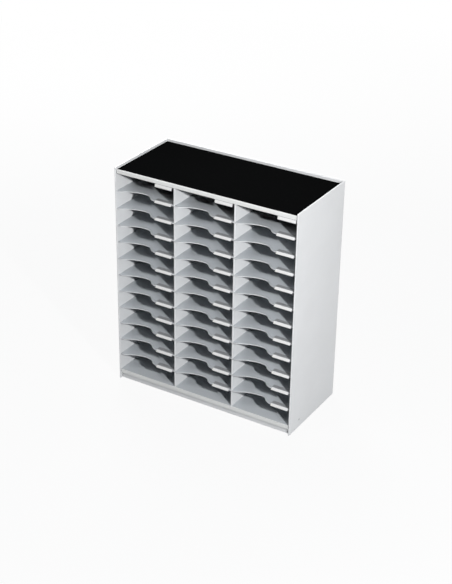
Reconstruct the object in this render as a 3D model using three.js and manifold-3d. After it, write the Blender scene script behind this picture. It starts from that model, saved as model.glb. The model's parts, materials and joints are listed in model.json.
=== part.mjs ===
// Pigeonhole mail sorter: three columns of twelve A4 pigeonholes in a light grey moulded casing
// with a black lid. The shelves slide into grooves in the side panels and dividers, and each one
// has a thumb scoop and a tilted label holder along its front edge.
// The origin is on the ground under the middle of the casing: X to the right, Y to the back, Z up.
import * as THREE from "three";
import { mergeVertices } from "three/addons/utils/BufferGeometryUtils.js";
import Module from "manifold-3d";

const wasm = await Module();
wasm.setup();

// Driving dimensions, in millimetres.
const WIDTH = 674;
const DEPTH = 308;
const HEIGHT = 791;
const COLUMN_NAMES = ["left", "middle", "right"];
const ROWS = 12;

// Casing walls.
const SIDE_THICKNESS = 4.5;
const DIVIDER_THICKNESS = 5.7;
const DIVIDER_SETBACK = 7;
const FRONT_EDGE_RADIUS = 1.6;
const ROUND_EDGE_LIMIT = 0.45;
const BACK_THICKNESS = 4;
const BACK_RIM_THICKNESS = 7;
const BACK_FOOT_HEIGHT = 5;

// Lid, floor and the rails in front of them.
const LID_THICKNESS = 3;
const LID_TONGUE = 1.4;
const LID_RECESS = 8.5;
const FLOOR_THICKNESS = 2.4;
const FLOOR_HEIGHT = 35;
const RAIL_SETBACK = 3;
const RAIL_THICKNESS = 3;
const RAIL_END_GAP = 2.5;
const TOP_RAIL_HEIGHT = 14;
const TOP_RAIL_LIP = 1.5;
const TOP_ROW_EXTRA = 3;
const BOTTOM_RAIL_HEIGHT = 15.5;
const PLINTH_SETBACK = 5;
const PLINTH_THICKNESS = 3;
const PLINTH_FOOT_HEIGHT = 1.5;
const PLINTH_END_GAP = 4;

// Shelves and the grooves that carry them.
const SHELF_THICKNESS = 2.4;
const SHELF_SETBACK = 4.5;
const SHELF_CORNER = 3;
const GROOVE_DEPTH = 1.8;
const TONGUE_CLEARANCE = 0.4;
const SLIDING_CLEARANCE = 0.3;
const ASSEMBLY_GAP = 0.2;

// Thumb scoop in the shelf's front edge: a long arc from the left, an S-bend back to the label.
const SCOOP_LEFT_LAND = 14.5;
const SCOOP_DEPTH = 26.5;
const SCOOP_APEX_SHARE = 0.61;
const SCOOP_CREST_LENGTH = 6;
const SCOOP_RIGHT_LAND = 4;

// Tilted label holder at the right-hand end of each front edge.
const LABEL_LENGTH = 64;
const LABEL_WALL_GAP = 6.3;
const LABEL_END_GAP = 0.8;
const LABEL_RUN = 8.5;
const LABEL_RISE = 6.9;
const LABEL_CREST = 1.8;
const LABEL_WALL = 1.6;
const LABEL_JAW_LENGTH = 16.3;
const LABEL_JAW_TIP = 1;
const LABEL_LOWER_JAW_LENGTH = 10;
const LABEL_POCKET_DEPTH = 0.6;
const LABEL_POCKET_MARGIN = 1.3;
const TOP_LABEL_DROP = 11;
const TOP_LABEL_LEG = 17;
const TOP_LABEL_WALL_GAP = 3.2;

// Curve fineness: a bend has this many steps and an arc twice as many, also round a wall's edge.
const CURVE_STEPS = 12;
const EDGE_STEPS = 2;

// Cutting tools run past the faces they open, and points closer than this are one point.
const OVERCUT = 1;
const SAME_POINT = 1e-4;

// Places worked out from the dimensions above.
const front = -DEPTH / 2;
const back = DEPTH / 2;
const innerLeft = -WIDTH / 2 + SIDE_THICKNESS;
const innerRight = WIDTH / 2 - SIDE_THICKNESS;
const backInner = back - BACK_THICKNESS;
const rimInner = back - BACK_RIM_THICKNESS;
const railBack = front + RAIL_SETBACK + RAIL_THICKNESS;
const lidTop = HEIGHT - LID_RECESS;
const lidUnder = lidTop - LID_THICKNESS;
const lidTongueTop = lidUnder + LID_TONGUE;
const floorUnder = FLOOR_HEIGHT - FLOOR_THICKNESS;
const columns = COLUMN_NAMES.length;
const dividerTotal = (columns - 1) * DIVIDER_THICKNESS;
const clearWidth = (innerRight - innerLeft - dividerTotal) / columns;
const columnPitch = clearWidth + DIVIDER_THICKNESS;
const topRailTop = lidTop + TOP_RAIL_LIP;
const topRailBottom = topRailTop - TOP_RAIL_HEIGHT;
const rowPitch = (topRailBottom + SHELF_THICKNESS - TOP_ROW_EXTRA - FLOOR_HEIGHT) / ROWS;
const shelfTops = Array.from({ length: ROWS - 1 }, (_, row) => FLOOR_HEIGHT + (row + 1) * rowPitch);
const tongue = GROOVE_DEPTH - TONGUE_CLEARANCE;
const labelRight = clearWidth - LABEL_WALL_GAP;
const labelLeft = labelRight - LABEL_LENGTH;

// Finishes.
const casingGrey = new THREE.MeshStandardMaterial({ color: 0xdfe2e4, roughness: 0.45, metalness: 0 });
const shelfGrey = new THREE.MeshStandardMaterial({ color: 0xbec2c4, roughness: 0.5, metalness: 0 });
const lidBlack = new THREE.MeshStandardMaterial({ color: 0x131415, roughness: 0.35, metalness: 0 });
const labelWhite = new THREE.MeshStandardMaterial({ color: 0xf2f2f0, roughness: 0.4, metalness: 0 });

// A box between two corners.
function block(x0, x1, y0, y1, z0, z1) {
  const box = new THREE.BoxGeometry(x1 - x0, y1 - y0, z1 - z0);
  return box.translate((x0 + x1) / 2, (y0 + y1) / 2, (z0 + z1) / 2);
}

// A standing wall whose front edge is rounded, drawn up from its plan.
function wall(x0, x1, y0, y1, z0, z1) {
  const radius = Math.min(FRONT_EDGE_RADIUS, (x1 - x0) * ROUND_EDGE_LIMIT);
  const plan = new THREE.Shape();
  plan.moveTo(x1, y1);
  plan.lineTo(x0, y1);
  plan.lineTo(x0, y0 + radius);
  plan.absarc(x0 + radius, y0 + radius, radius, Math.PI, 1.5 * Math.PI, false);
  plan.lineTo(x1 - radius, y0);
  plan.absarc(x1 - radius, y0 + radius, radius, 1.5 * Math.PI, 2 * Math.PI, false);
  plan.closePath();
  const body = new THREE.ExtrudeGeometry(plan, {
    depth: z1 - z0,
    bevelEnabled: false,
    curveSegments: EDGE_STEPS,
  });
  return body.translate(0, 0, z0);
}

// A closed outline of (y, z) points drawn out along X.
function drawnAlongX(outline, x0, x1) {
  const shape = new THREE.Shape(outline.map(([y, z]) => new THREE.Vector2(y, z)));
  const body = new THREE.ExtrudeGeometry(shape, { depth: x1 - x0, bevelEnabled: false });
  const yAxis = new THREE.Vector3(0, 1, 0);
  const zAxis = new THREE.Vector3(0, 0, 1);
  const xAxis = new THREE.Vector3(1, 0, 0);
  return body.applyMatrix4(new THREE.Matrix4().makeBasis(yAxis, zAxis, xAxis)).translate(x0, 0, 0);
}

// Geometry to solid and back, for joining and cutting.
function solidOf(geometry) {
  const bare = geometry.clone();
  bare.deleteAttribute("normal");
  bare.deleteAttribute("uv");
  const merged = mergeVertices(bare, SAME_POINT);
  const vertProperties = merged.attributes.position.array;
  const triVerts = new Uint32Array(merged.index.array);
  return new wasm.Manifold(new wasm.Mesh({ numProp: 3, vertProperties, triVerts }));
}

function geometryOf(solid) {
  const mesh = solid.getMesh();
  const geometry = new THREE.BufferGeometry();
  geometry.setAttribute("position", new THREE.BufferAttribute(mesh.vertProperties, 3));
  geometry.setIndex(new THREE.BufferAttribute(mesh.triVerts, 1));
  geometry.computeVertexNormals();
  return geometry;
}

function cut(geometry, tools) {
  return geometryOf(tools.reduce((solid, tool) => solid.subtract(solidOf(tool)), solidOf(geometry)));
}

function joined(geometries) {
  return geometryOf(geometries.map(solidOf).reduce((sum, next) => sum.add(next)));
}

const sorter = new THREE.Group();

function place(name, geometry, material) {
  const mesh = new THREE.Mesh(geometry, material);
  mesh.name = name;
  sorter.add(mesh);
  return mesh;
}

// Grooves for panels of one thickness, cut from a wall face at x into the wall, open at the front.
function grooves(face, into, tops, thickness) {
  const x0 = Math.min(face, face + into * GROOVE_DEPTH);
  const x1 = Math.max(face, face + into * GROOVE_DEPTH);
  return tops.map((top) =>
    block(x0, x1, front - OVERCUT, backInner, top - thickness - SLIDING_CLEARANCE, top + SLIDING_CLEARANCE),
  );
}

// Side panels: they stand on the ground, rise past the lid as a rim, and hold shelves, floor and lid.
function sidePanel(outer, face, into) {
  const slab = wall(Math.min(outer, face), Math.max(outer, face), front, back, 0, HEIGHT);
  return cut(slab, [
    ...grooves(face, into, shelfTops, SHELF_THICKNESS),
    ...grooves(face, into, [FLOOR_HEIGHT], FLOOR_THICKNESS),
    ...grooves(face, into, [lidTongueTop], LID_TONGUE),
  ]);
}
place("side_panel_left", sidePanel(-WIDTH / 2, innerLeft, -1), casingGrey);
place("side_panel_right", sidePanel(WIDTH / 2, innerRight, 1), casingGrey);

// Dividers: grooved on both faces, between floor and lid, a little behind the side panels' edges.
function divider(x0) {
  const x1 = x0 + DIVIDER_THICKNESS;
  const bottom = FLOOR_HEIGHT + ASSEMBLY_GAP;
  const top = lidUnder - ASSEMBLY_GAP;
  const slab = wall(x0, x1, front + DIVIDER_SETBACK, backInner - ASSEMBLY_GAP, bottom, top);
  return cut(slab, [
    ...grooves(x0, 1, shelfTops, SHELF_THICKNESS),
    ...grooves(x1, -1, shelfTops, SHELF_THICKNESS),
  ]);
}
for (let column = 1; column < columns; column++) {
  const x0 = innerLeft + column * columnPitch - DIVIDER_THICKNESS;
  place(`divider_${column}`, divider(x0), casingGrey);
}

// Back panel: one sheet between the side panels, thickened into a rim behind the lid.
const backOutline = [
  [backInner, BACK_FOOT_HEIGHT],
  [back, BACK_FOOT_HEIGHT],
  [back, HEIGHT],
  [rimInner, HEIGHT],
  [rimInner, lidUnder],
  [backInner, lidUnder],
];
place(
  "back_panel",
  drawnAlongX(backOutline, innerLeft + ASSEMBLY_GAP, innerRight - ASSEMBLY_GAP),
  casingGrey,
);

// Lid and floor: sheets held in the side panels' grooves, the floor by its edges. The lid has thin
// tongues low on its edges, so that its whole top face lies open inside the rim.
const sheetLeft = innerLeft - tongue;
const sheetRight = innerRight + tongue;
const sheetFront = railBack + ASSEMBLY_GAP;
const lidLeft = innerLeft + ASSEMBLY_GAP;
const lidRight = innerRight - ASSEMBLY_GAP;
const lidBack = rimInner - ASSEMBLY_GAP;
place(
  "lid_panel",
  joined([
    block(lidLeft, lidRight, sheetFront, lidBack, lidUnder, lidTop),
    block(sheetLeft, sheetRight, sheetFront, lidBack, lidUnder, lidTongueTop),
  ]),
  lidBlack,
);
place(
  "floor_panel",
  block(sheetLeft, sheetRight, sheetFront, backInner - ASSEMBLY_GAP, floorUnder, FLOOR_HEIGHT),
  shelfGrey,
);

// Rails in front of the lid and the floor, and the plinth set back under the floor.
const railLeft = innerLeft + RAIL_END_GAP;
const railRight = innerRight - RAIL_END_GAP;
const railFront = front + RAIL_SETBACK;
const plinthFront = Math.max(railFront + PLINTH_SETBACK, sheetFront);
place(
  "top_rail",
  block(railLeft, railRight, railFront, railBack, topRailBottom, topRailTop),
  casingGrey,
);
place(
  "bottom_rail",
  block(railLeft, railRight, railFront, railBack, FLOOR_HEIGHT - BOTTOM_RAIL_HEIGHT, FLOOR_HEIGHT),
  casingGrey,
);
place(
  "plinth",
  block(
    innerLeft + PLINTH_END_GAP,
    innerRight - PLINTH_END_GAP,
    plinthFront,
    plinthFront + PLINTH_THICKNESS,
    PLINTH_FOOT_HEIGHT,
    floorUnder - ASSEMBLY_GAP,
  ),
  casingGrey,
);

// A label face climbs from its foot at the casing's front, and the pocket in it takes a paper strip.
const labelSlope = Math.atan2(LABEL_RISE, LABEL_RUN);
const labelClimb = Math.tan(labelSlope);
const footThickness = LABEL_WALL / Math.sin(labelSlope);

function labelPocket(right, foot, run, rise) {
  const pocket = new THREE.BoxGeometry(
    LABEL_LENGTH - 2 * LABEL_POCKET_MARGIN,
    Math.hypot(run, rise) - 2 * LABEL_POCKET_MARGIN,
    2 * LABEL_POCKET_DEPTH,
  );
  pocket.rotateX(Math.atan2(rise, run));
  return pocket.translate(right - LABEL_LENGTH / 2, run / 2, foot + rise / 2);
}

// Shelf label holder: it grips the shelf's edge between a long upper jaw and a short lower one.
// Its heights are measured from the shelf's top face and its depths from the casing's front.
function shelfLabelHolder() {
  const foot = LABEL_CREST - LABEL_RISE;
  const grip = -SHELF_THICKNESS / 2;
  const jawUnder = -SHELF_THICKNESS - LABEL_JAW_TIP;
  const backOfFace = footThickness + (jawUnder - foot) / labelClimb;
  const jawBack = LABEL_RUN + LABEL_JAW_LENGTH;
  const lowerJawBack = backOfFace + LABEL_LOWER_JAW_LENGTH;
  const outline = [
    [0, foot],
    [footThickness, foot],
    [backOfFace, jawUnder],
    [lowerJawBack, jawUnder],
    [lowerJawBack, grip],
    [jawBack, grip],
    [jawBack, LABEL_JAW_TIP],
    [LABEL_RUN, LABEL_CREST],
  ];
  const holder = drawnAlongX(outline, labelLeft, labelRight);
  return cut(holder, [labelPocket(labelRight, foot, LABEL_RUN, LABEL_RISE)]);
}

// Shelf sheet, seen from above: tongues along both sides, the scooped edge at the front, and a notch
// that the label holder's body fills.
function shelfSheet() {
  const scoopEnd = labelLeft - SCOOP_RIGHT_LAND;
  const apex = SCOOP_LEFT_LAND + SCOOP_APEX_SHARE * (scoopEnd - SCOOP_LEFT_LAND);
  const crestEnd = apex + SCOOP_CREST_LENGTH;
  const deep = SHELF_SETBACK + SCOOP_DEPTH;
  const reach = apex - SCOOP_LEFT_LAND;
  const radius = (reach * reach + SCOOP_DEPTH * SCOOP_DEPTH) / (2 * SCOOP_DEPTH);
  const startAngle = Math.atan2(radius - SCOOP_DEPTH, -reach);
  const bend = (scoopEnd - crestEnd) / 2;
  const notchLeft = labelLeft - LABEL_END_GAP;
  const notchRight = labelRight + LABEL_END_GAP;
  const rear = DEPTH - BACK_THICKNESS - SLIDING_CLEARANCE;
  const shape = new THREE.Shape();
  shape.moveTo(-tongue, rear);
  shape.lineTo(-tongue, SHELF_SETBACK + SHELF_CORNER);
  shape.lineTo(SHELF_CORNER - tongue, SHELF_SETBACK);
  shape.lineTo(SCOOP_LEFT_LAND, SHELF_SETBACK);
  shape.absarc(apex, deep - radius, radius, startAngle, Math.PI / 2, true);
  shape.lineTo(crestEnd, deep);
  shape.bezierCurveTo(crestEnd + bend, deep, scoopEnd - bend, SHELF_SETBACK, scoopEnd, SHELF_SETBACK);
  shape.lineTo(notchLeft, SHELF_SETBACK);
  shape.lineTo(notchLeft, LABEL_RUN);
  shape.lineTo(notchRight, LABEL_RUN);
  shape.lineTo(notchRight, SHELF_SETBACK);
  shape.lineTo(clearWidth + tongue - SHELF_CORNER, SHELF_SETBACK);
  shape.lineTo(clearWidth + tongue, SHELF_SETBACK + SHELF_CORNER);
  shape.lineTo(clearWidth + tongue, rear);
  shape.closePath();
  const sheet = new THREE.ExtrudeGeometry(shape, {
    depth: SHELF_THICKNESS,
    bevelEnabled: false,
    curveSegments: CURVE_STEPS,
  });
  return sheet.translate(0, 0, -SHELF_THICKNESS);
}

// One shelf is moulded in a single piece and repeated in every groove.
const shelf = joined([shelfSheet(), shelfLabelHolder()]);
COLUMN_NAMES.forEach((columnName, column) => {
  shelfTops.forEach((top, row) => {
    const number = String(ROWS - 1 - row).padStart(2, "0");
    const mesh = place(`shelf_${columnName}_${number}`, shelf, shelfGrey);
    mesh.position.set(innerLeft + column * columnPitch, front, top);
  });
});

// Top row label holders: a clip round the top rail's lower edge, with a leg up the rail's back. Its
// steeper face starts flush with the rail's front and ends at the casing's front.
function topLabelHolder() {
  const right = clearWidth - TOP_LABEL_WALL_GAP;
  const seat = topRailBottom - ASSEMBLY_GAP;
  const foot = topRailBottom - TOP_LABEL_DROP;
  const legFront = RAIL_SETBACK + RAIL_THICKNESS + ASSEMBLY_GAP;
  const legBack = legFront + LABEL_WALL;
  const outline = [
    [0, foot],
    [LABEL_WALL, foot],
    [legBack, seat - LABEL_WALL],
    [legBack, foot + TOP_LABEL_LEG],
    [legFront, foot + TOP_LABEL_LEG],
    [legFront, seat],
    [RAIL_SETBACK, seat],
  ];
  const holder = drawnAlongX(outline, right - LABEL_LENGTH, right);
  return cut(holder, [labelPocket(right, foot, RAIL_SETBACK, seat - foot)]);
}
COLUMN_NAMES.forEach((columnName, column) => {
  const mesh = place(`label_holder_${columnName}`, topLabelHolder(), labelWhite);
  mesh.position.set(innerLeft + column * columnPitch, front, 0);
});

export default sorter;
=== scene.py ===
# %% [markdown]
# # A pigeonhole mail sorter
# A mail sorter stands on an office counter. It has a light grey plastic casing with a black lid, three
# columns of twelve pigeonholes, and shelves that slide into grooves in the walls. Each shelf has a scoop
# for the thumb in its front edge and a tilted clip that holds a paper label.
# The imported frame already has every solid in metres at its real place, so the lesson only dresses it:
# each solid is copied or modelled again with soft edges, gets a finish, and rides on its own body.

import json
import math

import bmesh
import bpy
from mathutils import Matrix, Vector

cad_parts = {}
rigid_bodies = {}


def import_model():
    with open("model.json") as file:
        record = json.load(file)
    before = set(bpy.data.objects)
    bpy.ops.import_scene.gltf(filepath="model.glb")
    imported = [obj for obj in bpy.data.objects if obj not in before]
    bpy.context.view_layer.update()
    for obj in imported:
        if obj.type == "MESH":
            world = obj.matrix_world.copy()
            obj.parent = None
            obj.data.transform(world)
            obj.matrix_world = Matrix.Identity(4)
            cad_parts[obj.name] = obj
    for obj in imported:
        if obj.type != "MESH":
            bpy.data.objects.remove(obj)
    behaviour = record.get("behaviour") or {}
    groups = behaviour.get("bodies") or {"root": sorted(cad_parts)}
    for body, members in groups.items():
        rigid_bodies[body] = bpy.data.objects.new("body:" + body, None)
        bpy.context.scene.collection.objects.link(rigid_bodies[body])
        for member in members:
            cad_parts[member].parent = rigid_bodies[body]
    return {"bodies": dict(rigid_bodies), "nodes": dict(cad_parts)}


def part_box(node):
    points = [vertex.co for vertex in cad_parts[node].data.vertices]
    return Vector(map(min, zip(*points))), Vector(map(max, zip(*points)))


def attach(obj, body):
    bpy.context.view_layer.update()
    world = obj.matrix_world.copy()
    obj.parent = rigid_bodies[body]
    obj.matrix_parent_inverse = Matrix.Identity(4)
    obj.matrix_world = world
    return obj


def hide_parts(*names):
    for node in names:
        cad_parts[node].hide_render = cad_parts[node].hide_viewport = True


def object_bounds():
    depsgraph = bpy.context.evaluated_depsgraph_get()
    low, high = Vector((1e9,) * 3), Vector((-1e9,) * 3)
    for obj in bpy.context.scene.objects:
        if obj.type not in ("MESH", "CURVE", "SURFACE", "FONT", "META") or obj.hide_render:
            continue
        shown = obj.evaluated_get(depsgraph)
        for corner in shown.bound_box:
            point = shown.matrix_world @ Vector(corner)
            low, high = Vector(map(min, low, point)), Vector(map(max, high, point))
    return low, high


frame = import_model()
cad_low, cad_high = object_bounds()

MM = 0.001
print("CAD box in mm:", [round(side / MM, 1) for side in cad_high - cad_low])

# %% [markdown]
# ## The moulded grey plastic
# The casing and the shelves are injection moulded, with a fine spark texture that keeps them from
# shining. The rails are a shade lighter than the casing, partly as their own plastic and partly as painted
# light that stands in for the front light they catch, and the shelves darker. A photograph of real
# plastic could be wrapped round them, but noise read in Object coordinates needs no unwrapping and never
# stretches. Three sizes of noise share the work: large clouds shift the tone a little, middle ones change
# the gloss as handling does, and a fine one makes the grain by bump.

# %% Helpers for materials
NOISE_LOW, NOISE_HIGH = 0.3, 0.7


def link(material, source, target):
    material.node_tree.links.new(source, target)


def new_finish(name):
    """A material with one Principled shader, and the Object coordinates that its patterns read."""
    material = bpy.data.materials.new(name)
    material.use_nodes = True
    nodes = material.node_tree.nodes
    shader = nodes["Principled BSDF"]
    place = nodes.new("ShaderNodeTexCoord").outputs["Object"]
    return material, shader, place


def noise(material, place, size, detail=2.0, stretch=None):
    """Noise whose lumps are about size metres wide. Stretch makes them longer along an axis."""
    nodes = material.node_tree.nodes
    if stretch is not None:
        mapping = nodes.new("ShaderNodeMapping")
        mapping.inputs["Scale"].default_value = stretch
        link(material, place, mapping.inputs["Vector"])
        place = mapping.outputs["Vector"]
    texture = nodes.new("ShaderNodeTexNoise")
    texture.inputs["Scale"].default_value = 1 / size
    texture.inputs["Detail"].default_value = detail
    link(material, place, texture.inputs["Vector"])
    return texture.outputs["Fac"]


def spread(material, value, low, high, start=NOISE_LOW, end=NOISE_HIGH):
    """Spreads the middle of a noise over the range from low to high."""
    remap = material.node_tree.nodes.new("ShaderNodeMapRange")
    for socket, number in zip(("From Min", "From Max", "To Min", "To Max"), (start, end, low, high)):
        remap.inputs[socket].default_value = number
    link(material, value, remap.inputs["Value"])
    return remap.outputs["Result"]


def tint(material, shader, value, dark, light):
    """Colours the finish between a dark and a light tone, as a pattern says."""
    ramp = material.node_tree.nodes.new("ShaderNodeValToRGB")
    for stop, position, tone in zip(ramp.color_ramp.elements, (NOISE_LOW, NOISE_HIGH), (dark, light)):
        stop.position = position
        stop.color = (*tone, 1)
    link(material, value, ramp.inputs["Fac"])
    link(material, ramp.outputs["Color"], shader.inputs["Base Color"])


def gloss(material, shader, value, smooth, matt):
    """Lets the roughness run between a smooth and a matt value, as a pattern says."""
    link(material, spread(material, value, smooth, matt), shader.inputs["Roughness"])


def bump(material, shader, height, depth, strength):
    """Grain: a pattern read as height, depth metres from valley to peak."""
    node = material.node_tree.nodes.new("ShaderNodeBump")
    node.inputs["Strength"].default_value = strength
    node.inputs["Distance"].default_value = depth
    link(material, height, node.inputs["Height"])
    link(material, node.outputs["Normal"], shader.inputs["Normal"])


# %% The casing's and the shelves' plastic
CASING_GREY = (0.71, 0.72, 0.732)
# The rails' grey is partly their own plastic and partly painted light: lighter, for the front light on
# them.
RAIL_GREY_WITH_PAINTED_LIGHT = (0.772, 0.782, 0.774)
SHELF_GREY = (0.492, 0.52, 0.545)
CLOUD_SIZE = 130 * MM
HANDLING_SIZE = 24 * MM
GRAIN_SIZE = 0.9 * MM
GRAIN_DEPTH = 0.12 * MM
GRAIN_STRENGTH = 0.35
PLASTIC_SPECULAR = 0.35


def moulded_plastic(name, colour, tone_change, smooth, matt):
    material, shader, place = new_finish(name)
    dark = [channel * (1 - tone_change) for channel in colour]
    light = [channel * (1 + tone_change) for channel in colour]
    tint(material, shader, noise(material, place, CLOUD_SIZE, detail=3), dark, light)
    gloss(material, shader, noise(material, place, HANDLING_SIZE, detail=4), smooth, matt)
    bump(material, shader, noise(material, place, GRAIN_SIZE), GRAIN_DEPTH, GRAIN_STRENGTH)
    shader.inputs["Specular IOR Level"].default_value = PLASTIC_SPECULAR
    print("finish", name, [round(channel, 3) for channel in colour])
    return material


casing_plastic = moulded_plastic("casing plastic", CASING_GREY, tone_change=0.016, smooth=0.40, matt=0.54)
# The rails' finish, lighter than the casing partly by painted front light.
rail_plastic_with_painted_light = moulded_plastic("rail plastic", RAIL_GREY_WITH_PAINTED_LIGHT, tone_change=0.016, smooth=0.40, matt=0.54)
shelf_plastic = moulded_plastic("shelf plastic", SHELF_GREY, tone_change=0.02, smooth=0.42, matt=0.58)

# %% [markdown]
# ## The black lid, the label clips and the paper
# The lid is matt black, with the pebbled skin of a hard-wearing work top and a trace of dust. Voronoi
# cells give the pebbles, because noise has no round lumps. The clips are smoky grey and smoother than the
# shelves. The labels are plain paper: white, with fibres that lie mostly one way, which a noise stretched
# along X gives.

# %% The lid's matt black
PEBBLE_SIZE = 1.6 * MM
PEBBLE_DEPTH = 0.15 * MM
DUST_SIZE = 3.5 * MM
CLEAN_BLACK = (0.0032, 0.0034, 0.0035)
DUSTY_BLACK = (0.007, 0.007, 0.0073)

lid_black, shader, place = new_finish("lid black")
specks = noise(lid_black, place, DUST_SIZE, detail=6)
tint(lid_black, shader, spread(lid_black, specks, 0, 1, start=0.45, end=0.9), CLEAN_BLACK, DUSTY_BLACK)
gloss(lid_black, shader, noise(lid_black, place, CLOUD_SIZE, detail=5), smooth=0.50, matt=0.68)
pebbles = lid_black.node_tree.nodes.new("ShaderNodeTexVoronoi")
pebbles.inputs["Scale"].default_value = 1 / PEBBLE_SIZE
link(lid_black, place, pebbles.inputs["Vector"])
bump(lid_black, shader, pebbles.outputs["Distance"], PEBBLE_DEPTH, strength=0.4)
shader.inputs["Specular IOR Level"].default_value = 0
print("finish", lid_black.name)

# %% The clips' smoky plastic and the paper
STREAK_WIDTH = 6 * MM
RIPPLE_SIZE = 1.5 * MM
RIPPLE_DEPTH = 0.03 * MM
FIBRE_WIDTH = 0.7 * MM
FIBRE_DEPTH = 0.04 * MM

clip_plastic, shader, place = new_finish("clip plastic")
streaks = noise(clip_plastic, place, STREAK_WIDTH, detail=3, stretch=(0.15, 1, 1))
tint(clip_plastic, shader, streaks, dark=(0.27, 0.28, 0.29), light=(0.33, 0.34, 0.35))
gloss(clip_plastic, shader, streaks, smooth=0.26, matt=0.38)
bump(clip_plastic, shader, noise(clip_plastic, place, RIPPLE_SIZE), RIPPLE_DEPTH, strength=0.2)
print("finish", clip_plastic.name)

label_paper, shader, place = new_finish("label paper")
fibres = noise(label_paper, place, FIBRE_WIDTH, detail=5, stretch=(0.25, 1, 1))
tint(label_paper, shader, fibres, dark=(0.72, 0.725, 0.725), light=(0.78, 0.785, 0.785))
bump(label_paper, shader, fibres, FIBRE_DEPTH, strength=0.25)
shader.inputs["Roughness"].default_value = 0.8
shader.inputs["Specular IOR Level"].default_value = 0.25
print("finish", label_paper.name)

# %% [markdown]
# ## From a bmesh to a piece
# Every piece ends the same way, so one helper does it: the bmesh becomes a mesh at the origin with its
# place in its vertices, sharp corners are marked by angle, and the piece rides on its body. Soft edges
# make a large flat face shade like a pillow, because a corner's normal is shared. A Weighted Normal
# modifier gives the large face the say, and the face stays flat up to its soft edge.

# %% Helper that makes a piece
SHARP_ANGLE = math.radians(38)


def make_piece(name, bm, body, slot, *materials, stands_for=()):
    mesh = bpy.data.meshes.new(name)
    bm.to_mesh(mesh)
    stale_normals = mesh.attributes.get("custom_normal")
    if stale_normals is not None:
        mesh.attributes.remove(stale_normals)
    mesh.shade_smooth()
    mesh.set_sharp_from_angle(angle=SHARP_ANGLE)
    for material in materials:
        mesh.materials.append(material)
    piece = bpy.data.objects.new(name, mesh)
    bpy.context.scene.collection.objects.link(piece)
    even = piece.modifiers.new("flat faces stay flat", "WEIGHTED_NORMAL")
    even.keep_sharp = True
    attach(piece, body)
    if stands_for:
        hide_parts(*stands_for)
    return piece


# %% [markdown]
# ## The casing's panels and rails
# The casing's solids have the right shape and only lack the small radius that a mould leaves on every
# edge. Modelling them again would risk a gap, so each is a copy of its solid: the loose triangles are
# merged, triangles in one plane are dissolved into one face, and the outer edges are bevelled. A wall's
# grooves are left sharp, as they are in the mould, so only edges on the outside of a wall are taken.
# The bottom rail's lower front edge is rounder. It is bevelled first, and the small radius then goes only
# to edges that are still sharp.

# %% Helpers that copy a solid and soften its edges
SAME_POINT = 0.002 * MM
ONE_PLANE = math.radians(0.5)
CORNER_ANGLE = math.radians(60)
FACING = 0.999
EDGE_STEPS = 2


def solid_copy(node):
    bm = bmesh.new()
    bm.from_mesh(frame["nodes"][node].data)
    bmesh.ops.remove_doubles(bm, verts=bm.verts[:], dist=SAME_POINT)
    bmesh.ops.dissolve_limit(bm, angle_limit=ONE_PLANE, verts=bm.verts[:], edges=bm.edges[:])
    return bm


def outside_edges(bm, node):
    """Edges that lie on two sides of the node's box, which leaves grooves and rounded fronts out."""
    low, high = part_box(node)

    def on_side(edge, axis, side):
        return all(abs(vert.co[axis] - side[axis]) < SAME_POINT for vert in edge.verts)

    def sides(edge):
        return sum(on_side(edge, axis, side) for axis in range(3) for side in (low, high))

    return [edge for edge in bm.edges if sides(edge) == 2]


def corner_edges(bm):
    return [edge for edge in bm.edges if edge.calc_face_angle(0) > CORNER_ANGLE]


def lower_front_edge(bm, node):
    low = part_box(node)[0]

    def in_line(vert):
        return (vert.co - low).yz.length < SAME_POINT

    return [edge for edge in bm.edges if all(in_line(vert) for vert in edge.verts)]


def largest_face(bm, outwards):
    """The largest of the faces that look along a direction."""
    facing = [face for face in bm.faces if face.normal.dot(outwards) > FACING]
    return max(facing, key=lambda face: face.calc_area())


def soften(bm, edges, radius):
    bmesh.ops.bevel(
        bm,
        geom=edges,
        offset=radius,
        offset_type="OFFSET",
        segments=EDGE_STEPS,
        profile=0.5,
        affect="EDGES",
        material=-1,
        clamp_overlap=True,
    )


# %% Dividers, back, floor, rails and plinth
PANEL_EDGE = 0.5 * MM
RAIL_EDGE = 0.6 * MM
RAIL_LOWER_EDGE = 2.4 * MM

for name in ("divider_1", "divider_2"):
    bm = solid_copy(name)
    soften(bm, outside_edges(bm, name), PANEL_EDGE)
    piece = make_piece(f"{name}_wall", bm, "casing", "casing", casing_plastic, stands_for=[name])
    print(piece.name, len(piece.data.polygons), "faces")

mouldings = {
    "back_panel": ("casing", casing_plastic),
    "floor_panel": ("shelf", shelf_plastic),
    "top_rail": ("casing", rail_plastic_with_painted_light),
    "bottom_rail": ("casing", rail_plastic_with_painted_light),
    "plinth": ("casing", casing_plastic),
}
for name, (slot, finish) in mouldings.items():
    bm = solid_copy(name)
    if name == "bottom_rail":
        soften(bm, lower_front_edge(bm, name), RAIL_LOWER_EDGE)
    soften(bm, corner_edges(bm), RAIL_EDGE)
    piece = make_piece(f"{name}_moulding", bm, "casing", slot, finish, stands_for=[name])
    print(piece.name, len(piece.data.polygons), "faces")

# %% The lid
LID_EDGE = 0.3 * MM

bm = solid_copy("lid_panel")
soften(bm, corner_edges(bm), LID_EDGE)
lid = make_piece("lid_sheet", bm, "casing", "lid", lid_black, stands_for=["lid_panel"])
print(lid.name, len(lid.data.polygons), "faces")

# %% [markdown]
# ## The side panels and their cover caps
# Low on each side panel, a little behind the front, a small round cap covers a screw. A cap stuck on
# the panel would make the sorter wider than it is, so it sits in a shallow bore and ends flush. The bore
# could be cut with a Boolean modifier. Filling the face again between its own outline and a circle, and
# extruding the circle inwards, is as short and leaves a clean mesh.

# %% Side panels with a bore for the cap
CAP_FROM_FRONT = 66 * MM
CAP_HEIGHT = 27.5 * MM
CAP_RADIUS = 3.4 * MM
BORE_CLEARANCE = 0.3 * MM
BORE_DEPTH = 1.4 * MM
ROUND_STEPS = 32


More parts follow.
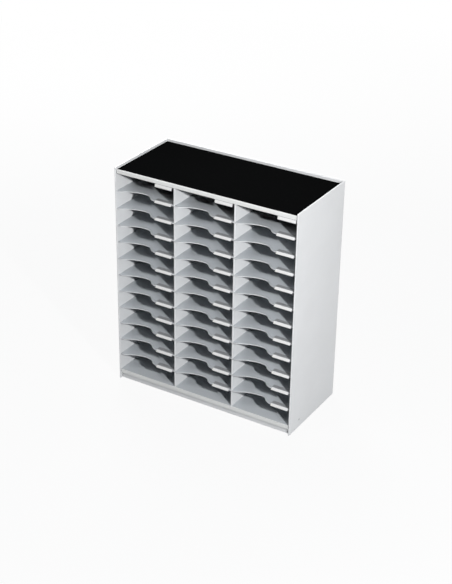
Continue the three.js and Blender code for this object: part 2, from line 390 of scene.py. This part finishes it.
def bore(bm, face, centre, radius, depth):
    """Cuts a round bore into a flat face that looks along X."""
    outwards = face.normal.copy()
    rim = face.edges[:]
    bmesh.ops.delete(bm, geom=[face], context="FACES_ONLY")
    facing_x = Matrix.Rotation(math.pi / 2, 4, "Y")
    circle = bmesh.ops.create_circle(
        bm, segments=ROUND_STEPS, radius=radius, matrix=Matrix.Translation(centre) @ facing_x
    )["verts"]
    ring = list({edge for vert in circle for edge in vert.link_edges})
    bmesh.ops.triangle_fill(bm, edges=rim + ring, use_beauty=True, normal=outwards)
    wall = bmesh.ops.extrude_edge_only(bm, edges=ring)["geom"]
    deep = [part for part in wall if isinstance(part, bmesh.types.BMVert)]
    bmesh.ops.translate(bm, verts=deep, vec=-outwards * depth)
    bmesh.ops.contextual_create(bm, geom=[part for part in wall if isinstance(part, bmesh.types.BMEdge)])
    bmesh.ops.recalc_face_normals(bm, faces=bm.faces[:])


cap_places = {}
for side, name in ((-1, "side_panel_left"), (1, "side_panel_right")):
    low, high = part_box(name)
    outer_x = high.x if side > 0 else low.x
    cap_places[name] = Vector((outer_x, low.y + CAP_FROM_FRONT, low.z + CAP_HEIGHT)), side
    bm = solid_copy(name)
    soften(bm, outside_edges(bm, name), PANEL_EDGE)
    outer_face = largest_face(bm, Vector((side, 0, 0)))
    bore(bm, outer_face, cap_places[name][0], CAP_RADIUS + BORE_CLEARANCE, BORE_DEPTH)
    piece = make_piece(f"{name}_wall", bm, "casing", "casing", casing_plastic, stands_for=[name])
    print(piece.name, len(piece.data.polygons), "faces")

# %% The cover caps, spun from half a profile
CAP_DOME = 0.5 * MM
CAP_SINK = 0.1 * MM
CAP_RIM = 0.5 * MM
DOME_BEND = 0.55
DOME_BEND_DROP = 0.25
SPECKLE_SIZE = 1.2 * MM

cap_grey, shader, place = new_finish("cap grey")
speckle = noise(cap_grey, place, SPECKLE_SIZE)
tint(cap_grey, shader, speckle, dark=(0.20, 0.21, 0.22), light=(0.25, 0.26, 0.27))
gloss(cap_grey, shader, speckle, smooth=0.35, matt=0.5)


def cover_cap():
    """A shallow dome whose crown is at the origin. It looks along +X."""
    profile = [
        (-CAP_SINK, 0),
        (-CAP_SINK - DOME_BEND_DROP * CAP_DOME, CAP_RADIUS * DOME_BEND),
        (-CAP_SINK - CAP_DOME, CAP_RADIUS - CAP_RIM),
        (-CAP_SINK - CAP_DOME - CAP_RIM, CAP_RADIUS),
        (-BORE_DEPTH, CAP_RADIUS),
        (-BORE_DEPTH, 0),
    ]
    bm = bmesh.new()
    verts = [bm.verts.new((x, radius, 0)) for x, radius in profile]
    edges = [bm.edges.new(pair) for pair in zip(verts, verts[1:])]
    bmesh.ops.spin(
        bm,
        geom=verts + edges,
        cent=(0, 0, 0),
        axis=(1, 0, 0),
        angle=2 * math.pi,
        steps=ROUND_STEPS,
        use_merge=True,
    )
    bmesh.ops.remove_doubles(bm, verts=bm.verts[:], dist=SAME_POINT)
    bmesh.ops.recalc_face_normals(bm, faces=bm.faces[:])
    return bm


for name, (spot, side) in cap_places.items():
    bm = cover_cap()
    if side < 0:
        bmesh.ops.rotate(bm, verts=bm.verts[:], cent=(0, 0, 0), matrix=Matrix.Rotation(math.pi, 3, "Z"))
    bmesh.ops.translate(bm, verts=bm.verts[:], vec=spot)
    piece = make_piece(name.replace("side_panel", "cover_cap"), bm, "casing", "cover_cap", cap_grey)
    print(piece.name, len(piece.data.polygons), "faces")

# %% [markdown]
# ## One shelf sheet, used thirty-three times
# A shelf is a flat sheet with a tongue along each side. Its front edge swings back in a long arc, so that
# a thumb can lift the mail, and comes forward again in an S-bend to the label clip. The outline could be
# a curve object. Here it is a face with one vertex at each corner of its construction lines, and a vertex
# bevel rounds each corner: the bevel's reach along the lines sets how wide the arc swings.
# The narrow faces round the sheet take the casing's lighter grey as the mesh's second material: a painted
# highlight for the light that these edges catch. Depths are measured from the casing's front and heights
# from the sheet's top face.

# %% Sizes of the shelf sheet
SHEET_THICKNESS = 2.4 * MM
SHEET_SETBACK = 4.5 * MM
SHEET_EDGE = 0.5 * MM
TONGUE = 1.4 * MM
TONGUE_CORNER = 3 * MM
SCOOP_LEFT_LAND = 14.5 * MM
SCOOP_DEPTH = 26.5 * MM
SCOOP_SLOPE = 0.768
SCOOP_SWING = 38.3 * MM
SCOOP_START = 5 * MM
BEND_MIDDLE = 120.5 * MM
BEND_HALF_RUN = 9.7 * MM
BEND_SWING = 14 * MM
LABEL_LENGTH = 64 * MM
LABEL_WALL_GAP = 6.3 * MM
LABEL_END_GAP = 0.8 * MM
NOTCH_DEPTH = 9.0 * MM
ARC_STEPS = 20
FLAT = 0.9

shelf_low, shelf_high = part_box("shelf_left_01")
clear_width = shelf_high.x - shelf_low.x - 2 * TONGUE
sheet_back = shelf_high.y - shelf_low.y
label_right = clear_width - LABEL_WALL_GAP
label_left = label_right - LABEL_LENGTH
print("pigeonhole width in mm:", round(clear_width / MM, 2))

# %% The shelf sheet


def round_corner(bm, corner, reach, steps):
    """Rounds the outline at the vertex nearest to a corner, reach metres along both of its edges."""
    nearest = min(bm.verts, key=lambda vert: (vert.co - Vector((*corner, 0))).length)
    bmesh.ops.bevel(
        bm,
        geom=[nearest],
        offset=reach,
        offset_type="OFFSET",
        segments=steps,
        profile=0.5,
        affect="VERTICES",
        material=-1,
        clamp_overlap=False,
    )


def shelf_sheet():
    deep = SHEET_SETBACK + SCOOP_DEPTH
    tongue_left = (-TONGUE, SHEET_SETBACK)
    tongue_right = (clear_width + TONGUE, SHEET_SETBACK)
    scoop_start = (SCOOP_LEFT_LAND, SHEET_SETBACK)
    scoop_top = (SCOOP_LEFT_LAND + SCOOP_DEPTH / SCOOP_SLOPE, deep)
    bend_back = (BEND_MIDDLE - BEND_HALF_RUN, deep)
    bend_front = (BEND_MIDDLE + BEND_HALF_RUN, SHEET_SETBACK)
    notch_left = label_left - LABEL_END_GAP
    notch_right = label_right + LABEL_END_GAP
    outline = [
        (-TONGUE, sheet_back),
        tongue_left,
        scoop_start,
        scoop_top,
        bend_back,
        bend_front,
        (notch_left, SHEET_SETBACK),
        (notch_left, NOTCH_DEPTH),
        (notch_right, NOTCH_DEPTH),
        (notch_right, SHEET_SETBACK),
        tongue_right,
        (clear_width + TONGUE, sheet_back),
    ]
    bm = bmesh.new()
    bm.faces.new([bm.verts.new((*point, 0)) for point in outline])
    round_corner(bm, scoop_top, SCOOP_SWING, 2 * ARC_STEPS)
    round_corner(bm, scoop_start, SCOOP_START, EDGE_STEPS * 2)
    round_corner(bm, bend_back, BEND_SWING, ARC_STEPS)
    round_corner(bm, bend_front, BEND_SWING, ARC_STEPS)
    round_corner(bm, tongue_left, TONGUE_CORNER, EDGE_STEPS * 2)
    round_corner(bm, tongue_right, TONGUE_CORNER, EDGE_STEPS * 2)
    raised = bmesh.ops.extrude_face_region(bm, geom=bm.faces[:])["geom"]
    lower = [part for part in raised if isinstance(part, bmesh.types.BMVert)]
    bmesh.ops.translate(bm, verts=lower, vec=(0, 0, -SHEET_THICKNESS))
    bmesh.ops.recalc_face_normals(bm, faces=bm.faces[:])

    def lies_flat(face):
        return abs(face.normal.z) > FLAT

    rim = [edge for edge in corner_edges(bm) if any(lies_flat(face) for face in edge.link_faces)]
    soften(bm, rim, SHEET_EDGE)
    bm.normal_update()
    # The narrow faces take material 1, the casing's lighter grey: a painted highlight along the sheet's
    # edges.
    for face in bm.faces:
        face.material_index = 0 if lies_flat(face) else 1
    return bm


# %% [markdown]
# ## The label clip and its paper
# The clip is a short length of extruded plastic: a sloping face with a shallow pocket for the label, a
# long jaw over the shelf's top and a short one under it. A cross-section drawn once and extruded along
# the shelf is how the real one is made, so it is made that way here too. The pocket is two insets: the
# first leaves the lip, the second sinks the middle. The paper bows a little, as paper does in a slot.

# %% Sizes of the label clip
FACE_RUN = 8.5 * MM
FACE_RISE = 6.9 * MM
FACE_CREST = 1.8 * MM
FACE_WALL = 1.6 * MM
JAW_BACK = 24.8 * MM
JAW_TIP = 1.0 * MM
LOWER_JAW_LENGTH = 10 * MM
CLIP_GAP = 0.05 * MM
CLIP_EDGE = 0.22 * MM
POCKET_LIP = 0.3 * MM
POCKET_DEPTH = 0.45 * MM
POCKET_DRAFT = 0.05 * MM
PAPER_THICKNESS = 0.2 * MM
PAPER_BOW = 0.12 * MM
PAPER_MARGIN = 0.12 * MM
PAPER_STEPS = 16

face_slope = math.atan2(FACE_RISE, FACE_RUN)
face_climb = FACE_RISE / FACE_RUN
foot_thickness = FACE_WALL / math.sin(face_slope)
face_foot = FACE_CREST - FACE_RISE
print("label face leans back", round(90 - math.degrees(face_slope), 1), "degrees from upright")

# %% Helpers for the clip and the paper


def clip_from_section(section, run, rise):
    """Extrudes a cross-section of (depth, height) points and sinks a pocket in the face that climbs."""
    bm = bmesh.new()
    bm.faces.new([bm.verts.new((label_left, *point)) for point in section])
    drawn = bmesh.ops.extrude_face_region(bm, geom=bm.faces[:])["geom"]
    far = [part for part in drawn if isinstance(part, bmesh.types.BMVert)]
    bmesh.ops.translate(bm, verts=far, vec=(LABEL_LENGTH, 0, 0))
    bmesh.ops.recalc_face_normals(bm, faces=bm.faces[:])
    soften(bm, corner_edges(bm), CLIP_EDGE)
    bm.normal_update()
    face = largest_face(bm, Vector((0, -rise, run)).normalized())
    for thickness, depth in ((POCKET_LIP, 0), (POCKET_DRAFT, -POCKET_DEPTH)):
        bmesh.ops.inset_region(bm, faces=[face], thickness=thickness, depth=depth, use_even_offset=True)
    return bm


def paper_strip(foot, run, rise):
    """A strip of paper on the floor of the pocket, in a face that climbs from its foot."""
    bm = bmesh.new()
    bmesh.ops.create_grid(bm, x_segments=PAPER_STEPS, y_segments=2, size=0.5)
    margin = CLIP_EDGE + POCKET_LIP + POCKET_DRAFT + PAPER_MARGIN
    length = LABEL_LENGTH - 2 * margin
    height = math.hypot(run, rise) - 2 * margin
    slope = Matrix.Rotation(math.atan2(rise, run), 3, "X")
    bmesh.ops.scale(bm, verts=bm.verts[:], vec=(length, height, 1))
    for vert in bm.verts:
        vert.co.z = PAPER_BOW * math.cos(math.pi * vert.co.x / length)
    bmesh.ops.solidify(bm, geom=bm.faces[:], thickness=PAPER_THICKNESS)
    lowest = min(vert.co.z for vert in bm.verts)
    bmesh.ops.translate(bm, verts=bm.verts[:], vec=(0, 0, -lowest - POCKET_DEPTH + CLIP_GAP))
    bmesh.ops.rotate(bm, verts=bm.verts[:], cent=(0, 0, 0), matrix=slope)
    middle = ((label_left + label_right) / 2, run / 2, foot + rise / 2)
    bmesh.ops.translate(bm, verts=bm.verts[:], vec=middle)
    bmesh.ops.recalc_face_normals(bm, faces=bm.faces[:])
    return bm


# %% [markdown]
# ## Placing the shelves
# All shelves are alike, so the sheet, the clip and the paper are each modelled once, and every shelf gets
# its own moved copy of the mesh. A shared mesh on moved objects would be lighter, but a pattern in Object
# coordinates would then repeat on every shelf, and the export wants each piece's place in its vertices.
# Each shelf is a body of its own in the frame, so its three pieces ride on that body.

# %% Thirty-three shelves
jaw_under = -SHEET_THICKNESS - JAW_TIP
face_back = foot_thickness + (jaw_under - face_foot) / face_climb
sheet_edge = NOTCH_DEPTH - CLIP_GAP
shelf_clip_section = [
    (0, face_foot),
    (foot_thickness, face_foot),
    (face_back, jaw_under),
    (face_back + LOWER_JAW_LENGTH, jaw_under),
    (face_back + LOWER_JAW_LENGTH, -SHEET_THICKNESS - CLIP_GAP),
    (sheet_edge, -SHEET_THICKNESS - CLIP_GAP),
    (sheet_edge, CLIP_GAP),
    (JAW_BACK, CLIP_GAP),
    (JAW_BACK, JAW_TIP),
    (FACE_RUN, FACE_CREST),
]
shelf_forms = {
    # The sheet's second material paints a highlight on its narrow faces.
    "sheet": (shelf_sheet(), "shelf", [shelf_plastic, casing_plastic]),
    "clip": (clip_from_section(shelf_clip_section, FACE_RUN, FACE_RISE), "label_holder", [clip_plastic]),
    "paper": (paper_strip(face_foot, FACE_RUN, FACE_RISE), "label_paper", [label_paper]),
}


def moved(form, place):
    bm = form.copy()
    bmesh.ops.translate(bm, verts=bm.verts[:], vec=place)
    return bm


shelves = sorted(name for name in frame["bodies"] if name.startswith("shelf_"))
for shelf in shelves:
    low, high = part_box(shelf)
    place = Vector((low.x + TONGUE, low.y, high.z - FACE_CREST))
    for kind, (form, slot, materials) in shelf_forms.items():
        name = shelf.replace("shelf", kind)
        stands_for = [shelf] if kind == "sheet" else []
        make_piece(name, moved(form, place), shelf, slot, *materials, stands_for=stands_for)
print(len(shelves), "shelves of", len(shelf_forms), "pieces each")

# %% [markdown]
# ## The top row's labels
# The highest pigeonhole of each column has no shelf above it, so its label hangs from the top rail. The
# clip goes round the rail's lower edge, with a leg up the rail's back, and its face is steeper. Only the
# cross-section differs, which is why the clip's helper takes one.

# %% Three clips round the top rail
RAIL_GAP = 0.2 * MM

rail_low, rail_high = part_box("top_rail")
for column in ("left", "middle", "right"):
    node = f"label_holder_{column}"
    low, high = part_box(node)
    foot, leg_top = low.z, high.z
    seat = rail_low.z - RAIL_GAP
    run, rise = rail_low.y - low.y, seat - foot
    leg_front = rail_high.y + RAIL_GAP - low.y
    leg_back = high.y - low.y
    section = [
        (0, foot),
        (FACE_WALL, foot),
        (leg_back, seat - FACE_WALL),
        (leg_back, leg_top),
        (leg_front, leg_top),
        (leg_front, seat),
        (run, seat),
    ]
    place = Vector((low.x - label_left, low.y, 0))
    clip = moved(clip_from_section(section, run, rise), place)
    make_piece(f"rail_clip_{column}", clip, "casing", "label_holder", clip_plastic, stands_for=[node])
    paper = moved(paper_strip(foot, run, rise), place)
    make_piece(f"rail_paper_{column}", paper, "casing", "label_paper", label_paper)
    print(node, "foot at", round(foot / MM, 1), "mm")

# %% [markdown]
# ## The floor and the white surround
# The sorter is shown on plain white. The floor is a wide disc. Its shader mixes a pale paint with a white
# glow that only the camera and mirror rays see, so the floor looks white and still takes a soft shadow.
# Towards its rim the glow takes over, and the floor runs into the white world unseen.

# %% The floor
FLOOR_RADIUS = 25.0
FLOOR_STEPS = 64
FLOOR_DROP = 0.2 * MM
FLOOR_PAINT = (0.59, 0.60, 0.61, 1)
GLOW_SHARE = 0.92
FADE_START = 1.6
FADE_END = 4.5


def seen_directly(nodes, links):
    """One for camera, mirror and glass rays, and zero for the rays that light the scene."""
    path = nodes.new("ShaderNodeLightPath").outputs
    seen = path["Is Camera Ray"]
    for ray in ("Is Glossy Ray", "Is Transmission Ray"):
        either = nodes.new("ShaderNodeMath")
        either.operation = "MAXIMUM"
        links.new(seen, either.inputs[0])
        links.new(path[ray], either.inputs[1])
        seen = either.outputs[0]
    return seen


floor_white, shader, place = new_finish("floor white")
nodes, links = floor_white.node_tree.nodes, floor_white.node_tree.links
shader.inputs["Base Color"].default_value = FLOOR_PAINT
shader.inputs["Roughness"].default_value = 0.9
shader.inputs["Specular IOR Level"].default_value = 0
glow = nodes.new("ShaderNodeEmission")
distance = nodes.new("ShaderNodeVectorMath")
distance.operation = "LENGTH"
links.new(place, distance.inputs[0])
fade = spread(floor_white, distance.outputs["Value"], GLOW_SHARE, 1, FADE_START, FADE_END)
share = nodes.new("ShaderNodeMath")
share.operation = "MULTIPLY"
links.new(fade, share.inputs[0])
links.new(seen_directly(nodes, links), share.inputs[1])
mix = nodes.new("ShaderNodeMixShader")
links.new(share.outputs[0], mix.inputs["Fac"])
links.new(shader.outputs[0], mix.inputs[1])
links.new(glow.outputs[0], mix.inputs[2])
links.new(mix.outputs[0], nodes["Material Output"].inputs["Surface"])

floor_mesh = bpy.data.meshes.new("floor")
bm = bmesh.new()
bmesh.ops.create_circle(bm, cap_ends=True, segments=FLOOR_STEPS, radius=FLOOR_RADIUS)
bmesh.ops.translate(bm, verts=bm.verts[:], vec=(0, 0, cad_low.z - FLOOR_DROP))
bm.to_mesh(floor_mesh)
floor_mesh.materials.append(floor_white)
floor = bpy.data.objects.new("floor", floor_mesh)
bpy.context.scene.collection.objects.link(floor)
print("floor at", round(floor_mesh.vertices[0].co.z / MM, 2), "mm")

# %% [markdown]
# ## Light
# The main lamp stands to the front right and above, small enough that every wall throws a clear shadow
# across the shelf beside it: those shadows show how deep the pigeonholes are. A broad lamp from the front
# and a dim world keep the dark sides readable, and another broad one from behind shows the back when the
# camera goes round. A lamp overhead lights the rim round the lid and nothing in the pigeonholes. Each lamp
# is placed by direction and distance, and its power grows with the square of the distance, so that moving
# a lamp doesn't change how bright the sorter is.

# %% Lamps and world
WORLD_FILL = 0.002
centre = (cad_low + cad_high) / 2


def direction(azimuth, elevation):
    """Points away from the sorter. Azimuth 0 is its front and 90 its right-hand side, in degrees."""
    turn, lift = math.radians(azimuth), math.radians(elevation)
    return Vector((math.sin(turn) * math.cos(lift), -math.cos(turn) * math.cos(lift), math.sin(lift)))


def lamp(name, azimuth, elevation, distance, size, level):
    """An area lamp that looks at the sorter's middle. At level 1 it lights a facing surface fully."""
    towards = direction(azimuth, elevation)
    data = bpy.data.lights.new(name, "AREA")
    data.shape = "DISK"
    data.size = size
    data.energy = level * math.pi**2 * distance**2
    light = bpy.data.objects.new(name, data)
    light.location = centre + towards * distance
    light.rotation_euler = towards.to_track_quat("Z", "Y").to_euler()
    bpy.context.scene.collection.objects.link(light)
    print(name, "lamp at", [round(value, 2) for value in light.location])


lamp("main", azimuth=54.1, elevation=26.3, distance=3.05, size=0.12, level=0.86)
lamp("front", azimuth=-20, elevation=57, distance=2.1, size=1.0, level=0.28)
lamp("back", azimuth=222, elevation=26, distance=4.5, size=2.6, level=0.75)
lamp("top", azimuth=180, elevation=85, distance=1.1, size=0.35, level=0.19)

world = bpy.data.worlds.new("white surround")
bpy.context.scene.world = world
world.use_nodes = True
nodes, links = world.node_tree.nodes, world.node_tree.links
fill = nodes["Background"]
fill.inputs["Color"].default_value = (1, 1, 1, 1)
fill.inputs["Strength"].default_value = WORLD_FILL
white = nodes.new("ShaderNodeBackground")
white.inputs["Color"].default_value = (1, 1, 1, 1)
white.inputs["Strength"].default_value = 1
mix = nodes.new("ShaderNodeMixShader")
links.new(seen_directly(nodes, links), mix.inputs["Fac"])
links.new(fill.outputs[0], mix.inputs[1])
links.new(white.outputs[0], mix.inputs[2])
links.new(mix.outputs[0], nodes["World Output"].inputs["Surface"])
bpy.context.scene.view_settings.view_transform = "Standard"

# %% [markdown]
# ## Camera
# The camera looks down on the sorter from the front right with a long lens. Its place is an azimuth, an
# elevation and a distance round a target, with a small slide and roll to frame the sorter, and no lens
# shift. Blender's sensor spans the longer side of a picture, here its height.

# %% The camera
PICTURE_HEIGHT = 584
FOCAL_PIXELS = 1352.3
CAMERA_AZIMUTH = 30.97
CAMERA_ELEVATION = 27.89
CAMERA_ROLL = 0.90
CAMERA_DISTANCE = 4.493
TARGET_HEIGHT = 0.395
SLIDE_RIGHT = -0.0034
SLIDE_UP = -0.0261

turn, roll = math.radians(CAMERA_AZIMUTH), math.radians(CAMERA_ROLL)
backwards = direction(CAMERA_AZIMUTH, CAMERA_ELEVATION)
level_right = Vector((math.cos(turn), math.sin(turn), 0))
level_up = backwards.cross(level_right)
right = math.cos(roll) * level_right + math.sin(roll) * level_up
up = backwards.cross(right)

camera_data = bpy.data.cameras.new("camera")
camera_data.lens = FOCAL_PIXELS / PICTURE_HEIGHT * camera_data.sensor_width
camera = bpy.data.objects.new("camera", camera_data)
stand = Vector((0, 0, TARGET_HEIGHT)) + backwards * CAMERA_DISTANCE + right * SLIDE_RIGHT + up * SLIDE_UP
camera.matrix_world = Matrix.Translation(stand) @ Matrix((right, up, backwards)).transposed().to_4x4()
bpy.context.scene.collection.objects.link(camera)
bpy.context.scene.camera = camera
print("lens", round(camera_data.lens, 1), "mm, camera at", [round(value, 2) for value in stand])
